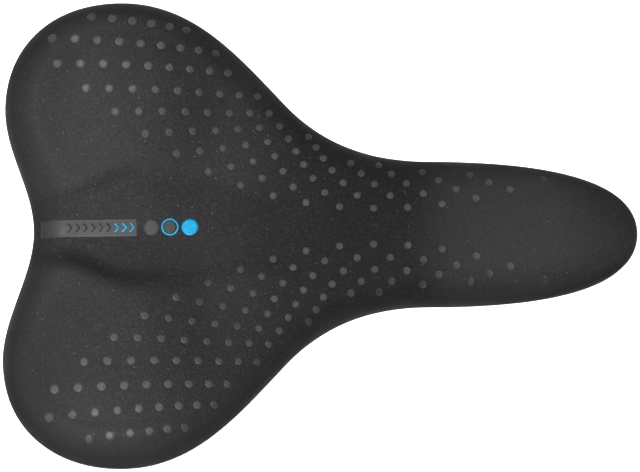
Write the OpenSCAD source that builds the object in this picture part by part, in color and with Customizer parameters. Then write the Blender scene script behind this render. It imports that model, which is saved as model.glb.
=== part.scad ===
// A wide, padded touring saddle for a bicycle, with elastomer suspension.
// +X points to the nose, +Y to the rider's left and +Z up. The origin lies
// midway between the two rails, at the height of their axes, at the middle of
// the straights that the seatpost clamp holds.

/* [Seat outline] */
// Overall length, from the rearmost point of a lobe to the nose tip
seat_length = 270; // [262:1:280]
// Overall width across the two rear lobes
seat_width = 200; // [190:1:210]
// Distance from the clamp centre back to the rearmost point of a lobe
rear_overhang = 122; // [118:1:126]
// Depth of the notch between the two lobes
notch_depth = 13; // [8:1:18]
// Distance between the rearmost points of the two lobes
lobe_spacing = 108; // [100:1:114]
// Distance from the rearmost point forward to the widest line
widest_from_rear = 50; // [46:1:54]
// Distance from the rearmost point forward to the middle of the flare
flare_from_rear = 120; // [116:1:124]
// Width at the middle of the flare
flare_width = 112; // [106:1:118]
// Slope of the outline at the middle of the flare, in degrees
flare_slope = 47; // [42:1:52]
// Distance from the rearmost point forward to the start of the nose
nose_from_rear = 182; // [178:1:188]
// Width of the nose
nose_width = 62; // [58:1:66]

/* [Seat heights] */
// Height of the spine of the cover above the rail axes
spine_height = 68; // [66:1:70]
// How much lower the spine is at the nose
nose_drop = 5; // [3:1:6]
// How far a lobe rises over the spine, before the cross crown is taken off
lobe_rise = 11; // [9:1:13]
// Fall of the surface away from the spine
cross_crown = 4; // [3:1:5]
// Depth of the recess between the two lobes at its rear end
recess_depth = 4.4; // [3.4:0.5:5.4]
// Height of the lower edge of the cover at the sides
rim_height = 37; // [36:1:38]
// Width of the band over which the top rolls down to the widest line
roll_width = 16; // [14:1:18]
// Thickness of the cover
cover_t = 1.4; // [1.2:0.1:1.6]

/* [Shell] */
// Height of the top of the shell at the rear
shell_height = 52; // [51:1:53]
// How much lower the shell is at the nose
shell_drop = 4; // [3:1:4]
// Thickness of the shell
shell_t = 3; // [2.8:0.1:3.2]

/* [Rails] */
// Diameter of the rail wire
rail_d = 7; // [7:7]
// Distance between the axes of the two straights
rail_spacing = 44; // [43:1:45]
// Length of each straight
rail_straight = 64; // [60:1:66]
// Distance between the two legs where they meet the cross bar
nose_spacing = 34; // [34:1:36]
// Place of the cross bar along the saddle
pivot_x = 105; // [103:1:107]
// Height of the cross bar
pivot_z = 31; // [30:1:32]
// Distance between the rear ends of the two rails
rail_end_spacing = 60; // [58:1:62]
// Height of the rear ends of the rails
rail_end_z = 13; // [13:1:14]

/* [Suspension] */
// Place of the two springs along the saddle
spring_x = -78; // [-80:1:-76]
// Distance between the axes of the two springs
spring_spacing = 92; // [90:1:94]
// Diameter of an elastomer
spring_d = 26; // [24:1:26]
// Top of the rear bridge, where the elastomers stand
bridge_top = 23; // [22:1:24]
// Bottom of the rear bridge
bridge_bottom = 8; // [8:1:9]

/* [Hidden] */

charcoal = [0.2, 0.2, 0.21];
nylon = [0.09, 0.09, 0.1];
gloss_black = [0.05, 0.05, 0.06];
steel = [0.62, 0.63, 0.65];

gap = 0.1;          // clearance between layers that lie on each other
slip = 0.05;        // radial clearance of a pin in its hole
over = 1;           // how far a cutting body runs past the face it cuts
hole_fn = 64;

// ---------- Outline of the seat ----------

tail_x = -rear_overhang;
tip_x = tail_x + seat_length;
half_w = seat_width / 2;
quarter_bow = 0.6;  // handle length of a rounded corner, as a share of its leg
nose_bow = 0.66;    // the same at the blunter nose tip
flank_bow = 0.37;   // handle length of a gentle span, as a share of its chord
notch_bow = 0.33;

notch_p = [tail_x + notch_depth, 0];
lobe_p = [tail_x, lobe_spacing / 2];
wide_p = [tail_x + widest_from_rear, half_w];
flare_p = [tail_x + flare_from_rear, flare_width / 2];
nose_p = [tail_x + nose_from_rear, nose_width / 2];
tip_p = [tip_x, 0];
flare_dir = [cos(flare_slope), -sin(flare_slope)];

function bezier(a, b, c, d, t) =
    pow(1 - t, 3) * a + 3 * pow(1 - t, 2) * t * b + 3 * (1 - t) * t * t * c + pow(t, 3) * d;
function run(a, b, c, d, steps) = [for (k = [0:steps - 1]) bezier(a, b, c, d, k / steps)];

// A gentle span leaves a along u and reaches b along v.
function span(a, u, b, v, bow, steps) =
    let (h = bow * norm(b - a)) run(a, a + h * u, b - h * v, b, steps);
// A corner leaves a along one axis and reaches b along the other.
function corner(a, b, corner_p, bow, steps) =
    run(a, a + bow * (corner_p - a), b + bow * (corner_p - b), b, steps);

half_outline = concat(
    span(notch_p, [0, 1], lobe_p, [0, 1], notch_bow, 7),
    corner(lobe_p, wide_p, [tail_x, half_w], quarter_bow, 9),
    span(wide_p, [1, 0], flare_p, flare_dir, flank_bow, 8),
    span(flare_p, flare_dir, nose_p, [1, 0], flank_bow, 7),
    corner(nose_p, tip_p, [tip_x, nose_width / 2], nose_bow, 11),
    [tip_p]
);
half_n = len(half_outline) - 1;
widest_i = 16;      // point of the outline on the widest line
ring_n = 2 * half_n;
outline = [for (i = [0:ring_n - 1])
    i <= half_n ? half_outline[i] : [half_outline[ring_n - i].x, -half_outline[ring_n - i].y]];

// Every ring shrinks towards the nearest point of a spine on the centre line.
spine_rear = -30;
spine_front = 112;
function core(p) = [max(spine_rear, min(spine_front, p.x)), 0];
fan_i = len([for (p = half_outline) if (p.x <= spine_rear) p]);   // first point ahead of its rear end
function unit(v) = v / norm(v);
inward = [for (p = outline) unit(core(p) - p)];
// How far to go along inward for one millimetre of distance from the edge.
stretch = [for (i = [0:ring_n - 1])
    let (t = unit(outline[(i + 1) % ring_n] - outline[(i + ring_n - 1) % ring_n]))
    1 / abs(t.x * inward[i].y - t.y * inward[i].x)];

function edge_point(i, e) = outline[i] + inward[i] * e * stretch[i];

// ---------- Height fields ----------

function ramp(a, b, x) = let (t = max(0, min(1, (x - a) / (b - a)))) t * t * (3 - 2 * t);
function bump(d, width) = exp(-pow(d / width, 2));

// Each lobe is a low oval plateau with a soft shoulder.
lobe_x = -71;
lobe_y = 54;
lobe_long = 37.4;
lobe_wide = 40.7;
function lobe(p) = exp(-pow(norm([(p.x - lobe_x) / lobe_long, (abs(p.y) - lobe_y) / lobe_wide]), 3.2));

// Between them lies a shallow tongue, open to the notch and rounded in front.
recess_front = 5;
recess_soft = 4;
function soft_min(a, b, width) = -width * ln(exp(-a / width) + exp(-b / width));
function recess(p) = let (
        half_width = 13 + 12 * ramp(-98, -64, p.x) - 6 * ramp(-50, -12, p.x),
        inside = soft_min(half_width - abs(p.y), recess_front - p.x, recess_soft))
    (recess_depth - 2.6 * ramp(-95, -45, p.x)) * ramp(-5, 8, inside);

function top_z(p) =
    spine_height - nose_drop * ramp(40, 140, p.x) + lobe_rise * lobe(p)
    - cross_crown * (1 - bump(p.y, 30)) - recess(p);
function rim_z(p) = rim_height + 3 * ramp(-20, 60, p.x) + 6 * bump(p.y, 30) * ramp(-90, -110, p.x);
function wide_z(p) = rim_z(p) + 7;
function shell_z(p) = shell_height - shell_drop * ramp(40, 100, p.x);

// ---------- Rings and skins ----------

roll_steps = [for (k = [0:5]) k * 18];      // angles down the rounded edge
inner_steps = [0.12, 0.24, 0.36, 0.48, 0.6, 0.74, 0.9]; // shares of the way in to the spine
shell_roll = 16;                            // width of the shell's rounded edge
shell_edge = 4;                             // distance of the shell's edge from the outline
shell_lip = 3;                              // height of the shell's upright edge

// One ring of the seat surface, t under the outside. Angle 90 is the top of the roll.
function seat_roll_ring(t, angle) = [for (i = [0:ring_n - 1])
    let (q = edge_point(i, roll_width),
         p = edge_point(i, roll_width * (1 - cos(angle)) + t * cos(angle)),
         low = wide_z(outline[i]))
    [p.x, p.y, low + (top_z(q) - low) * sin(angle) - t * sin(angle)]];
function seat_inner_ring(t, share) = [for (i = [0:ring_n - 1])
    let (q = edge_point(i, roll_width), p = q + (core(outline[i]) - q) * share)
    [p.x, p.y, top_z(p) - t]];
function seat_rings(t) = concat(
    [for (k = [len(inner_steps) - 1:-1:0]) seat_inner_ring(t, inner_steps[k])],
    [for (k = [len(roll_steps) - 1:-1:0]) seat_roll_ring(t, roll_steps[k])]);

// The same for the shell, whose edge stands on the folded rim of the cover.
function shell_low(i) = rim_z(outline[i]) + cover_t + gap + shell_lip;
function shell_roll_ring(t, angle) = [for (i = [0:ring_n - 1])
    let (q = edge_point(i, shell_edge + shell_roll),
         p = edge_point(i, shell_edge + shell_roll * (1 - cos(angle)) + t * cos(angle)))
    [p.x, p.y, shell_low(i) + (shell_z(q) - shell_low(i)) * sin(angle) - t * sin(angle)]];
function shell_inner_ring(t, share) = [for (i = [0:ring_n - 1])
    let (q = edge_point(i, shell_edge + shell_roll), p = q + (core(outline[i]) - q) * share)
    [p.x, p.y, shell_z(p) - t]];
function shell_rings(t) = concat(
    [for (share = [0.85, 0.55, 0.25]) shell_inner_ring(t, share)],
    [for (angle = [90:-18:0]) shell_roll_ring(t, angle)]);
function rim_ring(e, up) = [for (i = [0:ring_n - 1])
    let (p = edge_point(i, e)) [p.x, p.y, rim_z(outline[i]) + up]];
function reversed(list) = [for (k = [len(list) - 1:-1:0]) list[k]];

// Triangles between two rings. The diagonals run forward from ring a to ring b, or from b to a.
function wall_faces(a, b, from_b = false) = [for (i = [0:ring_n - 1])
    let (j = (i + 1) % ring_n,
         ai = a * ring_n + i, aj = a * ring_n + j, bi = b * ring_n + i, bj = b * ring_n + j)
    each from_b ? [[ai, bi, aj], [aj, bi, bj]] : [[ai, bi, bj], [ai, bj, aj]]];
// Triangles across a ring: a fan to the rear end of the spine round the notch and the
// lobes, and then from side to side.
function cap_faces(a, apex) = let (o = a * ring_n, n = ring_n, r = fan_i) concat(
    [for (i = [n - r:n + r - 1]) [apex, o + i % n, o + (i + 1) % n]],
    [[apex, o + r, o + n - r]],
    [for (i = [r:half_n - 2])
        each [[o + i, o + i + 1, o + n - i - 1], [o + i, o + n - i - 1, o + n - i]]],
    [[o + half_n - 1, o + half_n, o + half_n + 1]]);
function apex_point(ring) = [spine_rear, 0, ring[fan_i].z];
function flipped(faces) = [for (f = faces) [f[2], f[1], f[0]]];

// A closed body from a list of rings that starts at the top and ends underneath.
// Every diagonal starts on the inner of its two rings, so layers that lie on each
// other have parallel facets and the gap between them is the same everywhere.
module capped_skin(rings) {
    last = len(rings) - 1;
    reach = [for (r = rings) r[widest_i].y];
    apex = len(rings) * ring_n;
    polyhedron(
        points = concat([for (r = rings) each r], [apex_point(rings[0]), apex_point(rings[last])]),
        faces = concat(
            cap_faces(0, apex),
            [for (k = [0:last - 1]) each wall_faces(k, k + 1, reach[k + 1] < reach[k])],
            flipped(cap_faces(last, apex + 1))));
}
// A closed hoop, whose last ring joins its first.
module hoop(rings) {
    n = len(rings);
    polyhedron(
        points = [for (r = rings) each r],
        faces = [for (k = [0:n - 1]) each wall_faces(k, (k + 1) % n)]);
}

// ---------- Padding and shell ----------

hem_angles = [0, 18, 36, 54];               // how far the cover's hem runs up inside the shell
hem_in = shell_t + gap;                     // hem's upper face, under the shell's outside
hem_out = hem_in + cover_t;

module cover() {
    color(charcoal) capped_skin(concat(
        seat_rings(0),
        [rim_ring(1, 2.5), rim_ring(2.6, 0.8), rim_ring(3.8, 0), rim_ring(7.6, 0)],
        [for (a = hem_angles) shell_roll_ring(hem_out, a)],
        [for (a = reversed(hem_angles)) shell_roll_ring(hem_in, a)],
        [rim_ring(shell_edge + hem_in, cover_t), rim_ring(shell_edge - gap, cover_t),
         rim_ring(shell_edge - gap, cover_t + shell_lip), rim_ring(cover_t + 1, cover_t + shell_lip + 1)],
        reversed(seat_rings(cover_t))));
}

module padding() {
    capped_skin(concat(
        seat_rings(cover_t + gap),
        [rim_ring(shell_edge, cover_t + shell_lip + 2 * gap + 0.3)],
        reversed(shell_rings(-gap))));
}

gel_floor = shell_height + 7;
gel_length = 66;
gel_width = 54;
gel_x = -68;
gel_y = 47;
// Plan of a gel pad: an egg, wider at the rear and turned to follow its lobe.
module gel_plan(side, grow) {
    translate([gel_x, side * gel_y]) rotate(-side * 18) hull() {
        translate([-(gel_length - gel_width) / 2 - 2, 0]) circle(r = gel_width / 2 + grow, $fn = 48);
        translate([gel_length / 2 - 16, 0]) circle(r = 16 + grow, $fn = 48);
    }
}
module gel_pad(side) {
    color([0.35, 0.55, 0.7]) intersection() {
        padding();
        translate([0, 0, gel_floor]) linear_extrude(40) gel_plan(side, 0);
    }
}
module foam_pad() {
    color([0.75, 0.72, 0.6]) difference() {
        padding();
        for (side = [-1, 1])
            translate([0, 0, gel_floor - gap]) linear_extrude(40) gel_plan(side, gap);
    }
}

bush_r = 6;
boss_half = 8.5;
nose_boss_half = 16;
spring_boss_r = 17;
boss_z = shell_height - 5;    // underside of the spring bosses
nut_flange_r = 9;
nut_barrel_r = 4.2;
nut_flange_t = 1.3;
insert_r = 2.9;
insert_top = pivot_z + 12;
clamp_split = 0.15;
nose_screws = [for (dx = [-11, 11], dy = [-4.3, 4.3]) [pivot_x + dx, dy]];
springs = [for (side = [-1, 1]) [spring_x, side * spring_spacing / 2]];

module base_shell() {
    color(nylon) difference() {
        union() {
            capped_skin(concat(
                shell_rings(0),
                [rim_ring(shell_edge, cover_t + gap), rim_ring(shell_edge + shell_t, cover_t + gap)],
                reversed(shell_rings(shell_t))));
            for (p = springs)
                translate([p.x, p.y, boss_z])
                    cylinder(r = spring_boss_r, h = shell_height - boss_z - 1, $fn = hole_fn);
            translate([pivot_x - nose_boss_half, -boss_half, pivot_z + clamp_split])
                cube([2 * nose_boss_half, 2 * boss_half, insert_top + 3.5 - pivot_z]);
        }
        for (p = springs) translate([p.x, p.y, 0]) {
            cylinder(r = nut_barrel_r + slip, h = shell_height + over, $fn = hole_fn);
            translate([0, 0, shell_height - nut_flange_t - gap])
                cylinder(r = nut_flange_r + slip, h = nut_flange_t + over, $fn = hole_fn);
        }
        nose_bore();
        for (p = nose_screws) translate([p.x, p.y, 0])
            cylinder(r = insert_r + slip, h = insert_top + gap, $fn = hole_fn);
    }
}

module nose_bore() {
    translate([pivot_x, -boss_half - over, pivot_z]) rotate([-90, 0, 0])
        cylinder(r = bush_r + slip, h = 2 * (boss_half + over), $fn = hole_fn);
}

// The lip that is pressed over the folded rim of the cover.
trim_drop = 2.6;
module edge_trim() {
    color(gloss_black) hoop([
        rim_ring(0.7, 0.3), rim_ring(0.5, -trim_drop / 2), rim_ring(1.4, -trim_drop),
        rim_ring(8.6, -trim_drop), rim_ring(9.4, -trim_drop / 2), rim_ring(7.4, -gap),
        rim_ring(3.7, -gap), rim_ring(2.2, 0.5)]);
}

staple_w = 10;
staple_wire = 0.7;
staple_leg = 3;
staple_angle = 30;
// One staple: a crown on the hem and two legs that go up into the shell.
module staple() {
    translate([-staple_w / 2, -staple_wire / 2, -staple_wire]) cube([staple_w, staple_wire, staple_wire]);
    for (x = [-staple_w / 2, staple_w / 2 - staple_wire])
        translate([x, -staple_wire / 2, -staple_wire / 2])
            cube([staple_wire, staple_wire, staple_leg]);
}
module cover_staples() {
    lower = shell_roll_ring(hem_out, staple_angle - 6);
    upper = shell_roll_ring(hem_out, staple_angle + 6);
    middle = shell_roll_ring(hem_out + gap, staple_angle);
    color(steel) for (i = [1:3:ring_n - 1]) {
        across = unit(outline[(i + 1) % ring_n] - outline[(i + ring_n - 1) % ring_n]);
        rise = atan2(upper[i].z - lower[i].z, norm(upper[i] - lower[i]));
        translate(middle[i]) rotate([0, 0, atan2(across.y, across.x)]) rotate([-rise, 0, 0]) staple();
    }
}

// ---------- Nose joint ----------

bush_half = 8;
plate_bottom = pivot_z - 9;
screw_head_r = 3.4;
screw_head_h = 2.6;
module nose_bush() {
    color([0.8, 0.8, 0.76]) translate([pivot_x, -bush_half, pivot_z]) rotate([-90, 0, 0]) difference() {
        cylinder(r = bush_r, h = 2 * bush_half, $fn = hole_fn);
        translate([0, 0, -over])
            cylinder(r = rail_d / 2 + slip, h = 2 * (bush_half + over), $fn = hole_fn);
    }
}
module nose_clamp_plate() {
    color(gloss_black) difference() {
        hull() for (x = [-12, 12], y = [-4.5, 4.5])
            translate([pivot_x + x, y, plate_bottom])
                cylinder(r = 4, h = pivot_z - clamp_split - plate_bottom, $fn = 32);
        nose_bore();
        for (p = nose_screws) translate([p.x, p.y, plate_bottom - over])
            cylinder(r = 2.2, h = 20, $fn = hole_fn);
    }
}
module nose_clamp_screws() {
    color(steel) for (p = nose_screws) translate([p.x, p.y, plate_bottom]) {
        difference() {
            translate([0, 0, -screw_head_h - slip])
                cylinder(r = screw_head_r, h = screw_head_h, $fn = hole_fn);
            translate([0, 0, -screw_head_h - over]) cylinder(r = 1.6, h = over + 1.6, $fn = 6);
        }
        translate([0, 0, -slip - 0.5]) cylinder(r = 2, h = insert_top - plate_bottom - 1, $fn = hole_fn);
    }
}
module nose_inserts() {
    color([0.75, 0.62, 0.3]) for (p = nose_screws) translate([p.x, p.y, pivot_z + 2]) difference() {
        cylinder(r = insert_r, h = insert_top - pivot_z - 2, $fn = hole_fn);
        translate([0, 0, -over]) cylinder(r = 2 + slip, h = 20, $fn = hole_fn);
    }
}

// ---------- Rails ----------

rail_r = rail_d / 2;
long_bend = 20;
nose_bend = 18;
tight_bend = 8;
function turn_angle(a, b, c) = acos(unit(b - a) * unit(c - b));
function corner_reach(points, radii, k) =
    radii[k] == 0 ? 0 : radii[k] * tan(turn_angle(points[k - 1], points[k], points[k + 1]) / 2);

// A round wire through the given corners, with a true arc of its own radius at each.
// An arc is a hair thinner than the straights, whose ends reach a little over it.
arc_thinner = 0.02;
arc_cover = 0.3;
module bent_wire(points, radii, r) {
    last = len(points) - 1;
    for (k = [0:last - 1]) {
        u = unit(points[k + 1] - points[k]);
        a = points[k] + u * (corner_reach(points, radii, k) - (k > 0 ? arc_cover : 0));
        b = points[k + 1] - u * (corner_reach(points, radii, k + 1) - (k + 1 < last ? arc_cover : 0));
        translate(a) rotate([0, acos(u.z), atan2(u.y, u.x)])
            cylinder(r = r, h = norm(b - a), $fn = hole_fn);
    }
    for (k = [1:last - 1]) {
        u = unit(points[k] - points[k - 1]);
        v = unit(points[k + 1] - points[k]);
        n = unit(v - u * (u * v));
        w = cross(u, n);
        o = points[k] - u * corner_reach(points, radii, k) + n * radii[k];
        multmatrix([
            [-n.x, u.x, w.x, o.x],
            [-n.y, u.y, w.y, o.y],
            [-n.z, u.z, w.z, o.z],
            [0, 0, 0, 1]])
            rotate_extrude(angle = turn_angle(points[k - 1], points[k], points[k + 1]), $fn = 96)
                translate([radii[k], 0]) circle(r = r - arc_thinner, $fn = hole_fn);
    }
}

socket_front = -66;
socket_back = -90;
rail_end_x = -86;
rear_turn = 20.8;   // half of the turn at the rear end of a straight, in degrees
front_turn = 15.1;  // the same at its front end
rail_side = [
    [rail_end_x, rail_end_spacing / 2, rail_end_z],
    [socket_front + 9.5, rail_end_spacing / 2, rail_end_z],
    [-rail_straight / 2 - long_bend * tan(rear_turn), rail_spacing / 2, 0],
    [rail_straight / 2 + long_bend * tan(front_turn), rail_spacing / 2, 0],
    [pivot_x - 14, nose_spacing / 2, pivot_z],
    [pivot_x, nose_spacing / 2, pivot_z]
];
rail_bends = [0, long_bend, long_bend, long_bend, nose_bend, tight_bend];
module rails() {
    color(steel) bent_wire(
        concat(rail_side, [for (p = reversed(rail_side)) [p.x, -p.y, p.z]]),
        concat(rail_bends, reversed(rail_bends)), rail_r);
}

// ---------- Rear suspension ----------

collar_h = 3;
collar_t = 2.4;
seat_r = spring_d / 2 + 0.5;
lower_bush_r = 7;
bush_flange_r = 9.5;
bush_flange_t = 2;
bolt_r = 3;
bush_bore_r = 4.4;
grub_r = 2.5;
grub_x = -74;

arm_outer = 11;     // half width of an arm of the bridge where it meets a spring pad
arm_inner = 8;      // half width of the bridge on the centre line
socket_w = 16;

module rear_bridge() {
    tall = bridge_top - bridge_bottom;
    color(nylon) difference() {
        union() {
            for (p = springs) translate([p.x, p.y, bridge_bottom])
                cylinder(r = seat_r + collar_t, h = tall + collar_h, $fn = hole_fn);
            translate([spring_x, 0, bridge_bottom]) linear_extrude(tall - 1) polygon([
                [arm_outer, -spring_spacing / 2], [arm_inner, 0], [arm_outer, spring_spacing / 2],
                [-arm_outer, spring_spacing / 2], [-arm_inner, 0], [-arm_outer, -spring_spacing / 2]]);
            for (side = [-1, 1])
                translate([socket_back, (side * rail_end_spacing - socket_w) / 2, bridge_bottom + 0.5])
                    cube([socket_front - socket_back, socket_w, tall - 1]);
        }
        for (p = springs) translate([p.x, p.y, 0]) {
            translate([0, 0, bridge_top]) cylinder(r = seat_r, h = collar_h + over, $fn = hole_fn);
            cylinder(r = lower_bush_r + slip, h = bridge_top + over, $fn = hole_fn);
            translate([0, 0, bridge_bottom - over])
                cylinder(r = bush_flange_r + slip, h = bush_flange_t + over, $fn = hole_fn);
        }
        for (side = [-1, 1]) translate([0, side * rail_end_spacing / 2, 0]) {
            translate([rail_end_x - slip, 0, rail_end_z]) rotate([0, 90, 0])
                cylinder(r = rail_r + slip, h = socket_front - rail_end_x + over, $fn = hole_fn);
            translate([grub_x, 0, bridge_bottom - over])
                cylinder(r = grub_r + slip, h = rail_end_z - bridge_bottom + over, $fn = hole_fn);
        }
    }
}
module rail_grub_screws() {
    grub_top = rail_end_z - rail_r - slip;
    color(steel) for (side = [-1, 1])
        translate([grub_x, side * rail_end_spacing / 2, bridge_bottom]) difference() {
            cylinder(r = grub_r, h = grub_top - bridge_bottom, $fn = hole_fn);
            translate([0, 0, -over]) cylinder(r = 1.4, h = over + 1.8, $fn = 6);
        }
}
module bridge_bush(side) {
    color([0.8, 0.8, 0.76]) translate([spring_x, side * spring_spacing / 2, 0]) difference() {
        union() {
            translate([0, 0, bridge_bottom + slip])
                cylinder(r = bush_flange_r, h = bush_flange_t - 2 * slip, $fn = hole_fn);
            translate([0, 0, bridge_bottom + slip])
                cylinder(r = lower_bush_r, h = bridge_top - bridge_bottom - 2 * slip, $fn = hole_fn);
        }
        cylinder(r = bush_bore_r, h = bridge_top + over, $fn = hole_fn);
    }
}

cup_t = 3;
cup_skirt = 3;
cup_bottom = boss_z - gap - cup_t;
spring_top = cup_bottom - slip;
// A barrel-shaped rubber spring with two grooves round it.
module elastomer(side) {
    low = bridge_top + slip;
    tall = spring_top - low;
    groove_r = 2;
    color([0.25, 0.25, 0.27]) translate([spring_x, side * spring_spacing / 2, low]) difference() {
        cylinder(r = spring_d / 2, h = tall, $fn = hole_fn);
        translate([0, 0, -over]) cylinder(r = bush_bore_r, h = tall + 2 * over, $fn = hole_fn);
        for (share = [0.4, 0.68]) translate([0, 0, tall * share])
            rotate_extrude($fn = hole_fn) translate([spring_d / 2 + 0.4, 0]) circle(r = groove_r, $fn = 32);
    }
}
module upper_cup(side) {
    color(gloss_black) translate([spring_x, side * spring_spacing / 2, 0]) difference() {
        translate([0, 0, cup_bottom - cup_skirt])
            cylinder(r = spring_boss_r - 0.5, h = cup_t + cup_skirt, $fn = hole_fn);
        translate([0, 0, cup_bottom - cup_skirt - over])
            cylinder(r = seat_r, h = cup_skirt + over, $fn = hole_fn);
        cylinder(r = bolt_r + 0.3, h = boss_z, $fn = hole_fn);
    }
}
module t_nut(side) {
    nut_top = shell_height - slip;
    color(steel) translate([spring_x, side * spring_spacing / 2, 0]) difference() {
        union() {
            translate([0, 0, boss_z + gap])
                cylinder(r = nut_barrel_r, h = nut_top - boss_z - gap, $fn = hole_fn);
            translate([0, 0, nut_top - nut_flange_t])
                cylinder(r = nut_flange_r, h = nut_flange_t, $fn = hole_fn);
        }
        cylinder(r = bolt_r + slip, h = shell_height + over, $fn = hole_fn);
    }
}

washer_t = 1.6;
washer_r = 8.5;
head_h = 3.6;
washer_top = bridge_bottom;
module bolt_washer(side) {
    color(steel) translate([spring_x, side * spring_spacing / 2, washer_top - washer_t]) difference() {
        cylinder(r = washer_r, h = washer_t, $fn = hole_fn);
        translate([0, 0, -over]) cylinder(r = bolt_r + 0.2, h = washer_t + 2 * over, $fn = hole_fn);
    }
}
module suspension_bolt(side) {
    head_top = washer_top - washer_t - slip;
    color(steel) translate([spring_x, side * spring_spacing / 2, 0]) difference() {
        union() {
            translate([0, 0, head_top - head_h]) cylinder(r = 5.2, h = head_h, $fn = hole_fn);
            translate([0, 0, head_top - over])
                cylinder(r = bolt_r, h = shell_height - head_top, $fn = hole_fn);
        }
        translate([0, 0, head_top - head_h - over]) cylinder(r = 2.9, h = over + 2.4, $fn = 6);
    }
}

cover();
foam_pad();
gel_pad(1);  // gel_pad_left
gel_pad(-1);  // gel_pad_right
base_shell();
edge_trim();
cover_staples();
nose_bush();
nose_clamp_plate();
nose_clamp_screws();
nose_inserts();
upper_cup(1);  // upper_cup_left
upper_cup(-1);  // upper_cup_right
t_nut(1);  // t_nut_left
t_nut(-1);  // t_nut_right
suspension_bolt(1);  // suspension_bolt_left
suspension_bolt(-1);  // suspension_bolt_right
bolt_washer(1);  // bolt_washer_left
bolt_washer(-1);  // bolt_washer_right
rails();
rear_bridge();
rail_grub_screws();
bridge_bush(1);  // bridge_bush_left
bridge_bush(-1);  // bridge_bush_right
elastomer(1);  // elastomer_left
elastomer(-1);  // elastomer_right
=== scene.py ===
import math

import bmesh
import bpy
import numpy as np
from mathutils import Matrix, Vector
from mathutils.bvhtree import BVHTree


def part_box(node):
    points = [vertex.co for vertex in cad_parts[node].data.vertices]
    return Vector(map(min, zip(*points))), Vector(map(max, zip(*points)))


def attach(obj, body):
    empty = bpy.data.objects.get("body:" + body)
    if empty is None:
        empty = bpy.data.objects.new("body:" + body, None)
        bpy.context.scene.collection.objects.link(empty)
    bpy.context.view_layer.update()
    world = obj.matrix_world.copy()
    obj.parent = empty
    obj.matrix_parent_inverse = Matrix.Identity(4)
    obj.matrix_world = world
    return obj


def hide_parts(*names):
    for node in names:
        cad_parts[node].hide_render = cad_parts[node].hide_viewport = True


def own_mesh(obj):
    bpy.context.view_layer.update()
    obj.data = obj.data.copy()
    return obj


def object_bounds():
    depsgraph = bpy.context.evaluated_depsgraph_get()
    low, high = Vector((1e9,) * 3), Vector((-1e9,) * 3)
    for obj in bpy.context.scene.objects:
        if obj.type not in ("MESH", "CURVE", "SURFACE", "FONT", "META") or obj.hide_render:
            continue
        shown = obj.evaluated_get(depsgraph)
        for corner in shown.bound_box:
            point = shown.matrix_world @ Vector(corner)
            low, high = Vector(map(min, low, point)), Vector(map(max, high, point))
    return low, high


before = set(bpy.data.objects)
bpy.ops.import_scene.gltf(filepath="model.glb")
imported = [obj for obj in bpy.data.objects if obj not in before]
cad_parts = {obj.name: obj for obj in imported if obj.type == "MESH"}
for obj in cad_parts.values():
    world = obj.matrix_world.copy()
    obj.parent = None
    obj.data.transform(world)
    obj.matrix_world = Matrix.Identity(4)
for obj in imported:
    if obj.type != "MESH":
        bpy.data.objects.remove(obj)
cad_low, cad_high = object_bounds()

MM = 0.001


def box_of(node):
    """The low and high corners of a CAD node's box, in millimetres."""
    return [np.array(corner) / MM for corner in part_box(node)]


# ---------------------------------------------------------------- seat form
# The seat's form is worked out in millimetres from the cover's own box. Lengths are in
# millimetres throughout, except where a name or a comment says metres.

box_low, box_high = box_of("cover")
TAIL, TIP = box_low[0], box_high[0]
HALF_WIDTH = box_high[1]
RIM = box_low[2]
SPINE = RIM + 31            # height of the spine of the seat
WIDEST_X = TAIL + 50        # where the seat is widest, seen from above
WIDEST_UP = 7               # height over the rim of each section's widest point
NOSE_HALF = 31              # half the nose's width
ROLL = 16                   # width of the rounded edge
SKIN = 1.4                  # thickness of the cover
GAP = 0.1                   # clearance between layers
CROWN = 4                   # how far the sides lie under the spine
NOSE_DROOP = 5              # how far the spine falls towards the tip
LOBE_CENTRE, LOBE_RADII, LOBE_RISE = (-71, 54), (34, 37), 11
RECESS_FRONT = 5            # front end of the recess between the lobes
SHELL_EDGE, SHELL_ROLL, SHELL_LIP, SHELL_T = 4, 16, 3, 3
SHELL_TOP = SPINE - 16
AROUND = 288                # points round the outline
CORE_REAR, CORE_FRONT = -30, 112
GEL_CENTRE, GEL_RADII, GEL_FLOOR = (-69, 48), (31, 25), SHELL_TOP + 7


def bezier(a, b, c, d):
    steps = 300
    t = np.linspace(0, 1, steps, endpoint=False)[:, None]
    return (1 - t) ** 3 * a + 3 * (1 - t) ** 2 * t * b + 3 * (1 - t) * t * t * c + t ** 3 * d


def span(a, u, b, v, bow):
    """A gentle span that leaves a along u and reaches b along v."""
    h = bow * np.linalg.norm(b - a)
    return bezier(a, a + h * u, b - h * v, b)


def corner(a, b, c, bow):
    """A rounded corner from a to b under the corner point c."""
    return bezier(a, a + bow * (c - a), b + bow * (c - b), b)


def point(x, y):
    return np.array([x, y], float)


def half_outline():
    """Evenly spaced points along the left half of the outline, from the notch to the tip."""
    notch, lobe_end = point(TAIL + 13, 0), point(TAIL, 54)
    wide, flare = point(WIDEST_X, HALF_WIDTH), point(TAIL + 120, 56)
    nose, tip = point(TAIL + 182, NOSE_HALF), point(TIP, 0)
    forward, left = point(1, 0), point(0, 1)
    slope = math.radians(47)
    down = point(math.cos(slope), -math.sin(slope))
    dense = np.vstack([
        span(notch, left, lobe_end, left, 0.33),
        corner(lobe_end, wide, point(TAIL, HALF_WIDTH), 0.6),
        span(wide, forward, flare, down, 0.37),
        span(flare, down, nose, forward, 0.37),
        corner(nose, tip, point(TIP, NOSE_HALF), 0.66),
        tip[None, :]])
    run = np.concatenate([[0], np.cumsum(np.linalg.norm(np.diff(dense, axis=0), axis=1))])
    even = np.linspace(0, run[-1], AROUND // 2 + 1)
    return np.column_stack([np.interp(even, run, dense[:, k]) for k in (0, 1)])


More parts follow.
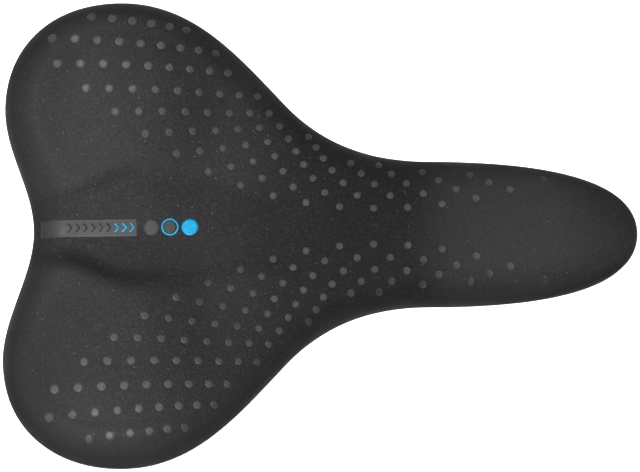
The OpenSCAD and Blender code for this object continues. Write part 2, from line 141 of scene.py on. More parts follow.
def unit(v):
    return v / np.linalg.norm(v, axis=-1, keepdims=True)


half = half_outline()
OUTLINE = np.vstack([half, half[-2:0:-1] * [1, -1]])
CORE = np.column_stack([np.clip(OUTLINE[:, 0], CORE_REAR, CORE_FRONT), np.zeros(AROUND)])
INWARD = unit(CORE - OUTLINE)
along = unit(np.roll(OUTLINE, -1, axis=0) - np.roll(OUTLINE, 1, axis=0))
STRETCH = 1 / np.abs(along[:, 0] * INWARD[:, 1] - along[:, 1] * INWARD[:, 0])


def edge_points(e):
    """Points e millimetres in from the outline."""
    return OUTLINE + INWARD * (e * STRETCH)[:, None]


def ramp(a, b, x):
    """Rises smoothly from 0 at a to 1 at b, which may lie on either side of a."""
    t = np.clip((x - a) / (b - a), 0, 1)
    return t * t * (3 - 2 * t)


def bump(d, width):
    return np.exp(-(d / width) ** 2)


def soft_min(a, b, width):
    return -width * np.log(np.exp(-a / width) + np.exp(-b / width))


def out_share(x, y, centre, radii):
    """Distance from the centre of an oval on either side, as a share of its radius."""
    return np.hypot((x - centre[0]) / radii[0], (np.abs(y) - centre[1]) / radii[1])


def recess(x, y):
    """Depth of the shallow tongue between the lobes, open to the notch and round in front."""
    half_width = 14 + 11 * ramp(-98, -64, x) - 6 * ramp(-50, -12, x)
    inside = soft_min(half_width - np.abs(y), RECESS_FRONT - x, 4)
    depth = 2.0 + 3.0 * ramp(-45, -90, x)
    return depth * ramp(-5, 7, inside)


def lobe(x, y):
    """One where a gel lobe is full and zero away from it, with a defined shoulder."""
    return np.exp(-(out_share(x, y, LOBE_CENTRE, LOBE_RADII) / 1.1) ** 3.2)


def painted_light(x, y):
    """Painted light on the skin: a painted highlight, strongest on the nose and half as strong over the
    rear of the seat, none on the waist, and painted shade in the recess, where that highlight is taken
    away.
    """
    nose = ramp(45, 75, x) * (1 - 0.6 * ramp(105, 140, x))
    seat = 0.5 * ramp(12, -28, x) * (1 - 0.9 * ramp(0, 2.5, recess(x, y)))
    return seat + nose


def top_height(x, y):
    crown = CROWN * (1 - bump(y, 30))
    return SPINE - NOSE_DROOP * ramp(40, 140, x) + LOBE_RISE * lobe(x, y) - crown - recess(x, y)


def rim_height(x, y):
    """Height of the lower edge, which lifts by 3 at the nose and by 6 in the notch."""
    return RIM + 3 * ramp(-20, 60, x) + 6 * bump(y, 30) * ramp(-90, -110, x)


def shell_height(x):
    return SHELL_TOP - 4 * ramp(40, 100, x)


LOW = rim_height(OUTLINE[:, 0], OUTLINE[:, 1])
SHELL_LOW = LOW + SKIN + GAP + SHELL_LIP


def stack(plan, z):
    return np.column_stack([plan, z])


def dome_ring(edge, roll, low, height, under, angle=None, share=None):
    """A ring under millimetres beneath a domed surface: at an angle of its rounded edge, or at
    a share of the way from there to the core."""
    q = edge_points(edge + roll)
    if share is not None:
        plan = q + (CORE - q) * share
        return stack(plan, height(plan[:, 0], plan[:, 1]) - under)
    c, s = math.cos(angle), math.sin(angle)
    plan = edge_points(edge + roll * (1 - c) + under * c)
    return stack(plan, low + (height(q[:, 0], q[:, 1]) - low) * s - under * s)


def seat_ring(under, **where):
    return dome_ring(0, ROLL, LOW + WIDEST_UP, top_height, under, **where)


def shell_ring(under, **where):
    return dome_ring(SHELL_EDGE, SHELL_ROLL, SHELL_LOW, lambda x, y: shell_height(x), under, **where)


def dome(ring, under, inner, rolls):
    """Rings of the seat or the shell, from the middle out to the widest line."""
    shares = np.linspace(1, 0, inner, endpoint=False)
    angles = np.linspace(math.pi / 2, 0, rolls)
    return [ring(under, share=s) for s in shares] + [ring(under, angle=a) for a in angles]


def rim_ring(e, up):
    return stack(edge_points(e), LOW + up)


# ---------------------------------------------------------------- mesh tools

def link_mesh(name, mesh, material):
    """A smooth-shaded object of the mesh."""
    mesh.polygons.foreach_set("use_smooth", [True] * len(mesh.polygons))
    if material:
        mesh.materials.append(material)
    obj = bpy.data.objects.new(name, mesh)
    bpy.context.scene.collection.objects.link(obj)
    return obj


def set_values(mesh, name, values):
    """Stores a value for each of the mesh's points."""
    attribute = mesh.attributes.new(name, "FLOAT", "POINT")
    attribute.data.foreach_set("value", np.array(values, np.float32))


def add_object(name, verts, faces, material, ink=None):
    """A closed object from points in metres, with the strength of its ink at each point."""
    mesh = bpy.data.meshes.new(name)
    mesh.from_pydata([tuple(v) for v in verts], [], faces)
    if ink:
        set_values(mesh, "ink", ink)
    obj = link_mesh(name, mesh, material)
    bm = bmesh.new()
    bm.from_mesh(mesh)
    bmesh.ops.remove_doubles(bm, verts=bm.verts, dist=1e-7)
    bmesh.ops.recalc_face_normals(bm, faces=bm.faces)
    bm.to_mesh(mesh)
    bm.free()
    return obj


def ring_faces(count, n, closed):
    """Faces between count rings of n points each, and from the last to the first if closed."""
    faces = []
    for k in range(count if closed else count - 1):
        a, b = k * n, (k + 1) % count * n
        faces += [(a + i, b + i, b + (i + 1) % n, a + (i + 1) % n) for i in range(n)]
    return faces


def loft(name, rings, material=None, closed=False, caps=()):
    """A solid through the rings. A closed loft runs back into its first ring. An open one ends in
    rings that shrink to a line or a point, or has caps."""
    faces = ring_faces(len(rings), len(rings[0]), closed) + list(caps)
    return add_object(name, np.vstack(rings) * MM, faces, material)


def lathe(name, profile, centre, material=None):
    """A closed ring-shaped solid turned from a closed profile of (radius, height)."""
    steps = 96
    angles = np.linspace(0, 2 * math.pi, steps, endpoint=False)
    rings = [np.column_stack([centre[0] + r * np.cos(angles), centre[1] + r * np.sin(angles),
                              np.full(steps, z)]) for r, z in profile]
    return loft(name, rings, material, closed=True)


def tree_of(obj):
    bm = bmesh.new()
    bm.from_mesh(obj.data)
    tree = BVHTree.FromBMesh(bm)
    bm.free()
    return tree


def hand_over(obj, body, node):
    """Puts the object on its body, in place of a CAD node, which it hides."""
    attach(obj, body)
    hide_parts(node)


# ---------------------------------------------------------------- materials
# Texture scales are per metre, and bump distances are in metres.

def to_linear(value):
    return value / 12.92 if value <= 0.04045 else ((value + 0.055) / 1.055) ** 2.4


def rgb(r, g, b):
    """A colour from its 0-255 display values."""
    return tuple(to_linear(c / 255) for c in (r, g, b)) + (1.0,)


class Graph:
    """A material's node tree, with short calls for the nodes that this scene uses."""

    def __init__(self, name):
        self.material = bpy.data.materials.new(name)
        self.material.use_nodes = True
        self.tree = self.material.node_tree
        self.bsdf = self.tree.nodes["Principled BSDF"]
        self.where = self.node("ShaderNodeTexCoord").outputs["Object"]

    def node(self, kind, inputs=None, **settings):
        made = self.tree.nodes.new(kind)
        for key, value in settings.items():
            setattr(made, key, value)
        for key, value in (inputs or {}).items():
            self.put(made.inputs[key], value)
        return made

    def put(self, socket, value):
        if isinstance(value, bpy.types.NodeSocket):
            self.tree.links.new(value, socket)
        else:
            socket.default_value = value

    def set(self, **inputs):
        for key, value in inputs.items():
            self.put(self.bsdf.inputs[key.replace("_", " ")], value)

    def scaled(self, x, y, z):
        inputs = {"Vector": self.where, "Scale": (x, y, z)}
        return self.node("ShaderNodeMapping", inputs).outputs["Vector"]

    def noise(self, scale, detail, where=None, rough=0.5):
        inputs = {"Vector": where or self.where, "Scale": scale, "Detail": detail, "Roughness": rough}
        return self.node("ShaderNodeTexNoise", inputs).outputs["Fac"]

    def clouds(self, scale, detail, low=0.0, high=1.0, rough=0.5):
        """Noise whose usual range is stretched to run from low to high."""
        return self.spread(self.noise(scale, detail, rough=rough), 0.3, 0.7, low, high)

    def cells(self, scale, output="Distance", feature="F1", smooth=None):
        inputs = {"Vector": self.where, "Scale": scale}
        if smooth is not None:
            inputs["Smoothness"] = smooth
        return self.node("ShaderNodeTexVoronoi", inputs, feature=feature).outputs[output]

    def spread(self, fac, low, high, to_low=0.0, to_high=1.0):
        inputs = {"Value": fac, "From Min": low, "From Max": high, "To Min": to_low, "To Max": to_high}
        return self.node("ShaderNodeMapRange", inputs).outputs[0]

    def maths(self, operation, a, b):
        return self.node("ShaderNodeMath", {0: a, 1: b}, operation=operation).outputs[0]

    def mix(self, fac, a, b):
        """The mix node has a set of sockets for each kind of data: 0, 6, 7 and 2 are those for colours."""
        made = self.node("ShaderNodeMix", {0: fac}, data_type="RGBA")
        self.put(made.inputs[6], a)
        self.put(made.inputs[7], b)
        return made.outputs[2]

    def attribute(self, name):
        return self.node("ShaderNodeAttribute", attribute_name=name).outputs["Fac"]

    def bumps(self, *layers):
        """Each layer is (height, distance, strength)."""
        normal = None
        for height, distance, strength in layers:
            inputs = {"Height": height, "Distance": distance, "Strength": strength}
            if normal:
                inputs["Normal"] = normal
            normal = self.node("ShaderNodeBump", inputs).outputs["Normal"]
        self.set(Normal=normal)


def skin_grain(g, strength=1.0):
    """The synthetic skin's grain: soft swells, pebbles and a fine tooth."""
    pebbles = g.cells(1150, feature="SMOOTH_F1", smooth=0.35)
    fine = g.noise(3200, 3)
    g.bumps((g.noise(140, 3), 0.0006, 0.16 * strength),
            (pebbles, 0.00035, 0.42 * strength),
            (fine, 0.00016, 0.35 * strength))
    return pebbles, fine


def cover_material():
    """Dark skin with painted light: a painted highlight on the nose and the rear of the seat, painted
    shade on the waist, in the recess, low on the flanks and where it turns away; mottled, with specks of
    dust."""
    g = Graph("cover_skin")
    pebbles, _ = skin_grain(g)
    # painted light: the tone runs from the darker grey in the painted shade to the lighter grey under the
    # painted highlight, with large random blotches over it
    painted_light_and_blotches = g.maths("ADD", g.attribute("painted_light"), g.clouds(22, 4, -0.12, 0.12, rough=0.6))
    tone = g.mix(painted_light_and_blotches, rgb(34, 34, 35), rgb(53, 53, 54))
    mottle = g.noise(950, 4, rough=0.7)
    tone = g.mix(g.spread(mottle, 0.5, 0.72, 0, 0.4), tone, rgb(74, 74, 75))
    tone = g.mix(g.spread(mottle, 0.5, 0.3, 0, 0.32), tone, rgb(20, 20, 21))
    tone = g.mix(g.spread(pebbles, 0.15, 0.5, 0.35, 0), tone, rgb(33, 33, 34))
    speck = g.maths("LESS_THAN", g.cells(330), 0.07)
    chosen = g.maths("GREATER_THAN", g.cells(330, "Color"), 0.6)
    dust = g.maths("MULTIPLY", g.maths("MULTIPLY", speck, chosen), 0.5)
    tone = g.mix(dust, tone, rgb(150, 150, 150))
    height = g.node("ShaderNodeSeparateXYZ", {"Vector": g.where}).outputs["Z"]
    # painted shade: the skin is drawn darker low on the flanks, towards the rim
    painted_flank_shade = g.spread(height, (RIM + 4) * MM, (SPINE - 6) * MM, 0.25, 0.0)
    tone = g.mix(painted_flank_shade, tone, rgb(17, 17, 18))
    # painted shade: the skin is drawn darker where its surface turns away from the camera
    painted_grazing_shade = g.node("ShaderNodeLayerWeight", {"Blend": 0.5}).outputs["Facing"]
    tone = g.mix(g.spread(painted_grazing_shade, 0.35, 0.85, 0.0, 0.75), tone, rgb(14, 14, 15))
    g.set(Base_Color=tone, Roughness=g.clouds(60, 4, 0.5, 0.6), Specular_IOR_Level=0.08)
    return g.material


def print_material(name, colour, bright, faded=True):
    """Matt ink on the skin: the grain shows through, and the ink gives way to the skin's colour where the
    ink attribute is low; on the dots that attribute carries a painted sheen.
    """
    g = Graph(name)
    _, fine = skin_grain(g, 0.6)
    rubbed = g.spread(g.noise(900, 3), 0.35, 0.62, 0.72, 1.0)
    ink = g.mix(g.spread(fine, 0.3, 0.7), colour, bright)
    fac = g.maths("MULTIPLY", rubbed, g.attribute("ink")) if faded else rubbed
    g.set(Base_Color=g.mix(fac, rgb(45, 45, 46), ink), Roughness=0.45, Specular_IOR_Level=0.25)
    return g.material


def plastic_material(name, colour, lighter, roughness, texture):
    g = Graph(name)
    g.set(Base_Color=g.mix(g.clouds(30, 4), colour, lighter),
          Roughness=g.clouds(200, 4, roughness - 0.06, roughness + 0.08), Specular_IOR_Level=0.5)
    g.bumps((g.noise(45, 2), 0.0005, 0.05), (g.noise(1900, 2), 0.0002, texture))
    return g.material


def steel_material(name, colour, roughness, stretch):
    """Drawn metal: fine lines along the wire, cloudy tone and small scuffs."""
    g = Graph(name)
    lines = g.noise(160, 4, g.scaled(*stretch), 0.65)
    scuffs = g.spread(g.noise(520, 5, rough=0.75), 0.6, 0.72)
    darker = tuple(c * 0.82 for c in colour[:3]) + (1,)
    tone = g.mix(g.clouds(45, 4), colour, darker)
    tone = g.mix(g.maths("MULTIPLY", scuffs, 0.35), tone, rgb(120, 118, 115))
    drawn = g.spread(lines, 0.3, 0.7, roughness - 0.07, roughness + 0.09)
    g.set(Base_Color=tone, Metallic=1.0,
          Roughness=g.maths("ADD", drawn, g.maths("MULTIPLY", scuffs, 0.15)))
    g.bumps((lines, 0.0002, 0.18), (scuffs, 0.0001, 0.12))
    return g.material


def rubber_material():
    g = Graph("elastomer")
    dusty = g.spread(g.noise(110, 5, rough=0.65), 0.42, 0.68)
    g.set(Base_Color=g.mix(dusty, rgb(44, 44, 47), rgb(66, 66, 69)),
          Roughness=g.spread(dusty, 0, 1, 0.6, 0.78))
    g.bumps((g.noise(260, 3), 0.0004, 0.12), (g.noise(1500, 2), 0.00015, 0.3))
    return g.material


def foam_material():
    g = Graph("foam")
    pores = g.cells(700)
    g.set(Base_Color=g.mix(g.spread(pores, 0.1, 0.5), rgb(60, 60, 62), rgb(104, 104, 106)),
          Roughness=0.92, Sheen_Weight=0.2)
    g.bumps((pores, 0.0005, 0.7), (g.noise(180, 3), 0.0006, 0.2))
    return g.material


def gel_material():
    g = Graph("gel")
    g.set(Base_Color=g.mix(g.clouds(70, 4), rgb(92, 130, 160), rgb(120, 160, 186)), Roughness=0.25,
          Transmission_Weight=0.35, IOR=1.41, Subsurface_Weight=0.2, Subsurface_Scale=0.01)
    g.bumps((g.noise(120, 2), 0.0005, 0.15))
    return g.material


COVER = cover_material()
INK = print_material("print_grey", rgb(74, 74, 75), rgb(92, 92, 93))
BAND = print_material("print_band", rgb(46, 46, 47), rgb(56, 56, 57))
DARK_INK = print_material("print_dark", rgb(17, 17, 18), rgb(22, 22, 23), faded=False)
BLUE_INK = print_material("print_blue", rgb(0, 142, 190), rgb(0, 156, 206), faded=False)
NYLON = plastic_material("shell_plastic", rgb(24, 24, 26), rgb(33, 33, 35), 0.46, 0.3)
GLOSS = plastic_material("gloss_trim", rgb(13, 13, 15), rgb(19, 19, 21), 0.16, 0.03)
BUSH = plastic_material("bush_plastic", rgb(202, 200, 190), rgb(216, 214, 206), 0.42, 0.1)
RAIL = steel_material("rail_steel", rgb(186, 187, 190), 0.3, (0.12, 1.0, 1.0))
ZINC = steel_material("bright_steel", rgb(196, 197, 200), 0.26, (1.0, 1.0, 0.2))
BRASS = steel_material("brass", rgb(196, 164, 92), 0.3, (1.0, 1.0, 0.2))
RUBBER = rubber_material()
FOAM = foam_material()
GEL = gel_material()

# ---------------------------------------------------------------- padding

CLOTH_VOXEL = 4.5           # size of the simulated form's mesh
CLOTH_FRAMES = 20
CLOTH_CAP = 2.2             # the furthest that a point may move
TOP_ZONE = SPINE - 14       # points over this height belong to the seat's upper side


def held_share(x, y, z):
    """How firmly each point is held: fully at the rim and in the recess, partly at the shoulders."""
    edge = ramp(SPINE - 12, SPINE - 22, z)
    valley = ramp(0.5, 1.5, recess(x, y)) * (z > TOP_ZONE)
    shoulder = bump(out_share(x, y, LOBE_CENTRE, LOBE_RADII) - 1.12, 0.12) * 0.6
    return np.clip(edge + valley + shoulder, 0, 1)


def puffed(obj):
    """Blows the closed form up a little with a cloth simulation. Returns its points and their ways."""
    scene = bpy.context.scene
    bpy.context.view_layer.objects.active = obj
    remesh = obj.modifiers.new("even", "REMESH")
    remesh.mode = "VOXEL"
    remesh.voxel_size = CLOTH_VOXEL * MM
    bpy.ops.object.modifier_apply(modifier=remesh.name)
    rest = np.array([v.co for v in obj.data.vertices]) / MM
    group = obj.vertex_groups.new(name="held")
    for i, weight in enumerate(held_share(*rest.T)):
        group.add([i], float(weight), "REPLACE")
    cloth = obj.modifiers.new("cloth", "CLOTH")
    s = cloth.settings
    s.quality = 5
    s.mass = 0.05
    s.tension_stiffness = s.compression_stiffness = 8
    s.bending_stiffness = 1
    s.use_pressure = True
    s.uniform_pressure_force = 12
    s.vertex_group_mass = group.name
    s.effector_weights.gravity = 0
    cloth.collision_settings.use_collision = False
    cloth.point_cache.frame_end = CLOTH_FRAMES
    for step in range(1, CLOTH_FRAMES + 1):
        scene.frame_set(step)
    moved = obj.evaluated_get(bpy.context.evaluated_depsgraph_get()).to_mesh()
    way = np.array([v.co for v in moved.vertices]) / MM - rest
    length = np.linalg.norm(way, axis=1, keepdims=True)
    way *= CLOTH_CAP * np.tanh(length / CLOTH_CAP) / np.maximum(length, 1e-9)
    return rest, way


def cloth_rise():
    """Points of the simulated padding's upper side, and how far each one rises."""
    form = loft("form", dome(seat_ring, 1.0, 12, 8) + [rim_ring(SHELL_EDGE, 5)]
                + dome(shell_ring, 0, 12, 8)[::-1])
    rest, way = puffed(form)
    bpy.data.objects.remove(form)
    bpy.context.scene.frame_set(1)
    keep = rest[:, 2] > TOP_ZONE
    return rest[keep], way[keep, 2]


def lifted(points, rest, rise):
    """The simulated rise at each point, averaged over its neighbours in plan."""
    out = np.zeros(len(points))
    reach, batch = 4.5, 400
    for start in range(0, len(points), batch):
        part = points[start:start + batch]
        d = (part[:, None, 0] - rest[None, :, 0]) ** 2 + (part[:, None, 1] - rest[None, :, 1]) ** 2
        w = np.exp(-d / reach ** 2) + 1e-12
        out[start:start + batch] = (w * rise[None, :]).sum(1) / w.sum(1)
    return out


def puff(rings, cloth):
    """Adds the simulated rise to rings of the seat's surface, fading out down the rounded edge."""
    if cloth is None:
        return rings
    points = np.vstack(rings)
    rise = lifted(points, *cloth) * ramp(SPINE - 18, SPINE - 6, points[:, 2])
    points = points + np.column_stack([np.zeros((len(points), 2)), rise])
    return list(points.reshape(len(rings), AROUND, 3))


def make_cover(cloth):
    """One skin over the padding, folded under the rim, with a hem that lies against the shell's edge."""
    hem_in = SHELL_T + GAP
    hem_out = hem_in + SKIN
    hems = np.linspace(0, math.radians(48), 7)
    rings = puff(dome(seat_ring, 0, 42, 16), cloth)
    fold = ((0.25, 5), (0.9, 2.7), (1.8, 1.2), (2.8, 0.35), (4, 0), (6, 0), (7.6, 0.15))
    rings += [rim_ring(e, up) for e, up in fold]
    rings += [shell_ring(hem_out, angle=a) for a in hems]
    rings += [shell_ring(hem_in, angle=a) for a in hems[::-1]]
    rings += [rim_ring(SHELL_EDGE + hem_in, SKIN), rim_ring(SHELL_EDGE - GAP, SKIN),
              rim_ring(SHELL_EDGE - GAP, SKIN + SHELL_LIP), rim_ring(SKIN + 1, SKIN + SHELL_LIP + 1)]
    rings += puff(dome(seat_ring, SKIN, 20, 8), cloth)[::-1]
    cover = loft("seat_cover", rings, COVER)
    x, y = np.array([v.co[:2] for v in cover.data.vertices]).T / MM
    # stores each point's painted light: painted highlight on the nose and the rear, painted shade on the
    # waist and in the recess
    set_values(cover.data, "painted_light", painted_light(x, y))
    hand_over(cover, "saddle_top", "cover")
    return cover


def make_foam(cloth):
    """The foam under the cover, with a pocket for each gel pad."""
    top = puff(dome(seat_ring, SKIN + GAP, 40, 8), cloth)
    for ring in top:
        pocket = ramp(1.1, 1.03, out_share(ring[:, 0], ring[:, 1], GEL_CENTRE, GEL_RADII))
        ring[:, 2] += (np.minimum(ring[:, 2], GEL_FLOOR - GAP) - ring[:, 2]) * pocket
    foam = loft("foam_core", top + [rim_ring(SHELL_EDGE, SKIN + SHELL_LIP + 0.5)]
                + dome(shell_ring, -GAP, 20, 8)[::-1], FOAM)
    hand_over(foam, "saddle_top", "foam_pad")


def make_gel(side, name, node, cloth):
    """A lens of gel: a rounded upper face just under the cover and a flat floor in the foam's pocket."""
    steps = 72
    angles = np.linspace(0, 2 * math.pi, steps, endpoint=False)

    def oval(share):
        return np.column_stack([GEL_CENTRE[0] + GEL_RADII[0] * share * np.cos(angles),
                                side * (GEL_CENTRE[1] + GEL_RADII[1] * share * np.sin(angles))])

    rings = []
    for share in list(np.linspace(0, 0.94, 14)) + [0.97, 0.99, 1.0]:
        plan = oval(share)
        z = top_height(plan[:, 0], plan[:, 1]) - SKIN - 2 * GAP
        if cloth is not None:
            z = z + lifted(plan, *cloth)
        fullness = math.sqrt(max(0.0, 1 - share ** 10) * 0.8 + 0.2)
        rings.append(stack(plan, GEL_FLOOR + (z - GEL_FLOOR) * fullness))
    for share in (0.99, 0.9, 0.6, 0.3, 0):
        rings.append(stack(oval(share), np.full(steps, float(GEL_FLOOR))))
    hand_over(loft(name, rings, GEL), "saddle_top", node)


def make_trim():
    """The glossy lip that is pressed over the cover's folded edge."""
    profile = [(1.5, 0.9), (0.75, 0.2), (0.55, -0.9), (0.8, -2.0), (1.7, -2.6), (4.5, -2.7), (7.8, -2.6),
               (8.9, -2.0), (9.2, -1.2), (8.8, -0.5), (7.4, -GAP), (3.7, -GAP), (2.4, 0.35)]
    trim = loft("rim_lip", [rim_ring(e, up) for e, up in profile], GLOSS, closed=True)
    hand_over(trim, "saddle_top", "edge_trim")


# ---------------------------------------------------------------- print

INK_DEPTH = 0.2             # how far the ink's slabs reach down into the cover
INK_LIFT, ARROW_LIFT = 0.03, 0.06


def drape(tree, plan, lift):
    """Points of the plan laid on the cover, lifted along its normal, in metres."""
    above = 200
    out = []
    for x, y in plan:
        hit, normal, _, _ = tree.ray_cast(Vector((x * MM, y * MM, above * MM)), Vector((0, 0, -1)))
        out.append(hit + normal * (lift * MM))
    return out


def slab_faces(start, rows, cols, wraps):
    """Faces of a closed slab: its upper grid of points begins at start, and its lower one follows."""
    def up(r, c):
        return start + r * cols + c % cols

    def down(r, c):
        return up(r, c) + rows * cols

    faces = []
    last = cols if wraps else cols - 1
    for r in range(rows - 1):
        for c in range(last):
            faces.append((up(r, c), up(r, c + 1), up(r + 1, c + 1), up(r + 1, c)))
            faces.append((down(r, c), down(r + 1, c), down(r + 1, c + 1), down(r, c + 1)))
    for r in (0, rows - 1):
        faces += [(up(r, c), down(r, c), down(r, c + 1), up(r, c + 1)) for c in range(last)]
    if not wraps:
        for c in (0, cols - 1):
            faces += [(up(r, c), up(r + 1, c), down(r + 1, c), down(r, c)) for r in range(rows - 1)]
    return faces


def decal(name, tree, grids, material, inks=None, lift=INK_LIFT):
    """Thin closed slabs of ink on the cover. Each grid is rows of plan points, and may wrap round.
    Inks gives the strength at each of a grid's points."""
    verts, faces, shades = [], [], []
    for k, (grid, wraps) in enumerate(grids):
        flat = [p for row in grid for p in row]
        faces += slab_faces(len(verts), len(grid), len(grid[0]), wraps)
        verts += drape(tree, flat, lift) + drape(tree, flat, -INK_DEPTH)
        shades += list(inks[k] if inks else [1.0] * len(flat)) * 2
    obj = add_object(name, verts, faces, material, shades)
    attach(obj, "saddle_top")
    return obj


def disc_grid(x, y, radius, hole=0.0, steps=48, rows=4):
    """A round or ring-shaped grid, which wraps round."""
    angles = np.linspace(0, 2 * math.pi, steps, endpoint=False)
    grid = [[(x + r * math.cos(a), y + r * math.sin(a)) for a in angles]
            for r in np.linspace(hole, radius, rows)]
    return grid, True


def dot_places():
    """The staggered dots of the left half: a curve beside the centre line that is nearest to it at
    the waist, and a straight row going out from each of the curve's dots."""
    waist, nearest = 38.0, 7.6
    first, pitch, closing = 35.4, 14.45, 0.105
    places = []
    for k in range(-5, 15):
        x = first - k * (pitch - closing * max(k, 0))
        far = abs(x - waist)
        power, bend = (2.12, 0.00182) if x < waist else (2.0, 0.00282)
        p = np.array([x, nearest + bend * far ** power])
        slope = math.atan(math.copysign(power * bend * far ** (power - 1), x - waist))
        turn = slope + math.radians(38.5 + 3 * ramp(-75, -105, x))
        out = np.array([math.cos(turn), math.sin(turn)])
        step = 8.9 + 1.1 * ramp(20, -60, x)
        for n in range(11):
            places.append(p)
            p = p + out * step
            step *= 0.987 - 0.008 * n
    return places


def flank_width(x):
    """Half the seat's width at x, forward of the widest line."""
    front = half[half[:, 0] > WIDEST_X]
    return np.interp(x, front[:, 0], front[:, 1])


def on_seat(p, rim):
    """Whether a dot fits on the upper side, at its distance from the outline."""
    if p[0] > WIDEST_X and p[1] > flank_width(p[0]) - 4:
        return False
    return rim >= 6 and TAIL + 16 <= p[0] <= 112 and p[1] <= HALF_WIDTH - 6


def print_dots(tree):
    """Dots with a painted sheen: they are drawn clearest from the waist forwards and on the lobes' outer
    sides, and fade towards the rim and the tip, where the sheen would fall away."""
    steps, rows, spread = 24, 3, 1.01
    grids, inks = [], []
    wobble = np.random.default_rng(4)
    for p in dot_places():
        x, y = p
        rim = np.min(np.linalg.norm(OUTLINE - p, axis=1))
        if not on_seat(p, rim):
            continue
        radius = 1.5 + 0.42 * ramp(0, -85, x)
        # painted sheen: each dot's strength is drawn higher where its sheen would catch the lamps and
        # lower towards the rim and the tip
        painted_sheen = 0.45 + 0.5 * max(ramp(-25, 10, x), 0.8 * ramp(40, 72, y))
        strength = painted_sheen * ramp(1, 14, rim) * (1 - 0.6 * ramp(84, 112, x))
        for side in (-1, 1):
            grids.append(disc_grid(x, side * y * spread, radius, steps=steps, rows=rows))
            inks.append([float(strength * wobble.uniform(0.85, 1.0))] * (steps * rows))
    decal("print_dots", tree, grids, INK, inks)


def arrow(x):
    """An arrow head that points forwards: two slanted strokes that meet on the centre line."""
    reach, half_height, thick = 1.5, 1.9, 0.85
    shares = np.linspace(0, 1, 6)
    return [([[(x + reach * (1 - t) + d, side * half_height * t) for t in shares]
              for d in (0, thick)], False) for side in (-1, 1)]


def print_badge(tree):
    """A plain band, three round marks and a row of arrows, in place of any lettering."""
    back, front, half_height, fade = -105.5, -64.2, 3.8, 15
    xs = np.linspace(back, front, 60)
    rows = [[(x, y) for x in xs] for y in np.linspace(-half_height, half_height, 9)]
    fades = [float(ramp(back, back + fade, x)) for _ in rows for x in xs]
    decal("print_band", tree, [(rows, False)], BAND, [fades])
    first, pitch = front - 30, 3.3
    for name, material, places in (("print_arrows_dark", DARK_INK, range(6)),
                                   ("print_arrows_blue", BLUE_INK, range(6, 9))):
        grids = [stroke for k in places for stroke in arrow(first + k * pitch)]
        decal(name, tree, grids, material, lift=ARROW_LIFT)
    decal("print_disc_grey", tree, [disc_grid(-58.3, 0, 3.5)], BAND)
    decal("print_disc_pale", tree, [disc_grid(-50.6, 0, 2.9)], BAND)
    decal("print_ring_blue", tree, [disc_grid(-50.6, 0, 3.65, 3.0, rows=3)], BLUE_INK)
    decal("print_disc_blue", tree, [disc_grid(-42.2, 0, 3.5)], BLUE_INK)


# ---------------------------------------------------------------- suspension


def make_elastomer(side):
    """A barrel of rubber with two grooves and a bore for its bolt."""
    node = "elastomer_" + side
    low, high = box_of(node)
    r, bore, bottom, top = (high[0] - low[0]) / 2, 4.4, low[2], high[2]
    bulge, groove_depth, rounding, chamfer = 0.9, 1.9, 0.8, 0.6
    outer = []
    for h in np.linspace(0, 1, 41):
        barrel = r - bulge + bulge * math.sin(math.pi * h)
        for groove in (0.36, 0.66):
            barrel -= groove_depth * bump(h - groove, 0.055)
        barrel -= rounding * bump(h, 0.03) + rounding * bump(1 - h, 0.03)
        outer.append((barrel, bottom + (top - bottom) * h))
    profile = outer + [(bore + chamfer, top), (bore, top - chamfer),
                       (bore, bottom + chamfer), (bore + chamfer, bottom)]
    obj = lathe("spring_" + side, profile, (low + high) / 2, RUBBER)
    hand_over(obj, "undercarriage", node)
    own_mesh(obj)


# ---------------------------------------------------------------- shell and rails

PIVOT = np.array([105.0, 0, 31])    # axis of the nose joint
NOSE_BOSS = np.array([16, 8.5])     # half length and half width of the block over it
NOSE_SPACING = 34                   # distance between the two rails where they reach the nose
BOSS_R, BOSS_DROP, BOSS_BORE = 17, 5, 4.3
EMBED = 1                           # how far the shell's bosses and block reach into its skin
SHARP_ANGLE = 38                    # edges of the shell that are sharper than this stay sharp


def bar(path, profile):
    """Rings of a profile of (sideways, up) points, carried along a level path."""
    way = unit(np.gradient(path[:, :2], axis=0))
    side = np.column_stack([-way[:, 1], way[:, 0], np.zeros(len(path))])
    return [[p + d * a + np.array([0, 0, up]) for a, up in profile] for p, d in zip(path, side)]


def rib_paths():
    """Ribs under the shell: three that run to the nose, and cross ribs between them and the flanks."""
    x = np.linspace(-86, PIVOT[0] - NOSE_BOSS[0] + 1, 80)
    for y in (-1, 0, 1):
        yield np.column_stack([x, y * (7 + 17 * ramp(45, -70, x)), np.zeros(len(x))])
    widest = 66
    for at in np.arange(-84, 70, 21):
        reach = flank_width(at) - 27 if at > WIDEST_X else widest
        y = np.linspace(-reach, reach, 60)
        yield np.column_stack([at + 5 * (y / widest) ** 2, y, np.zeros(len(y))])


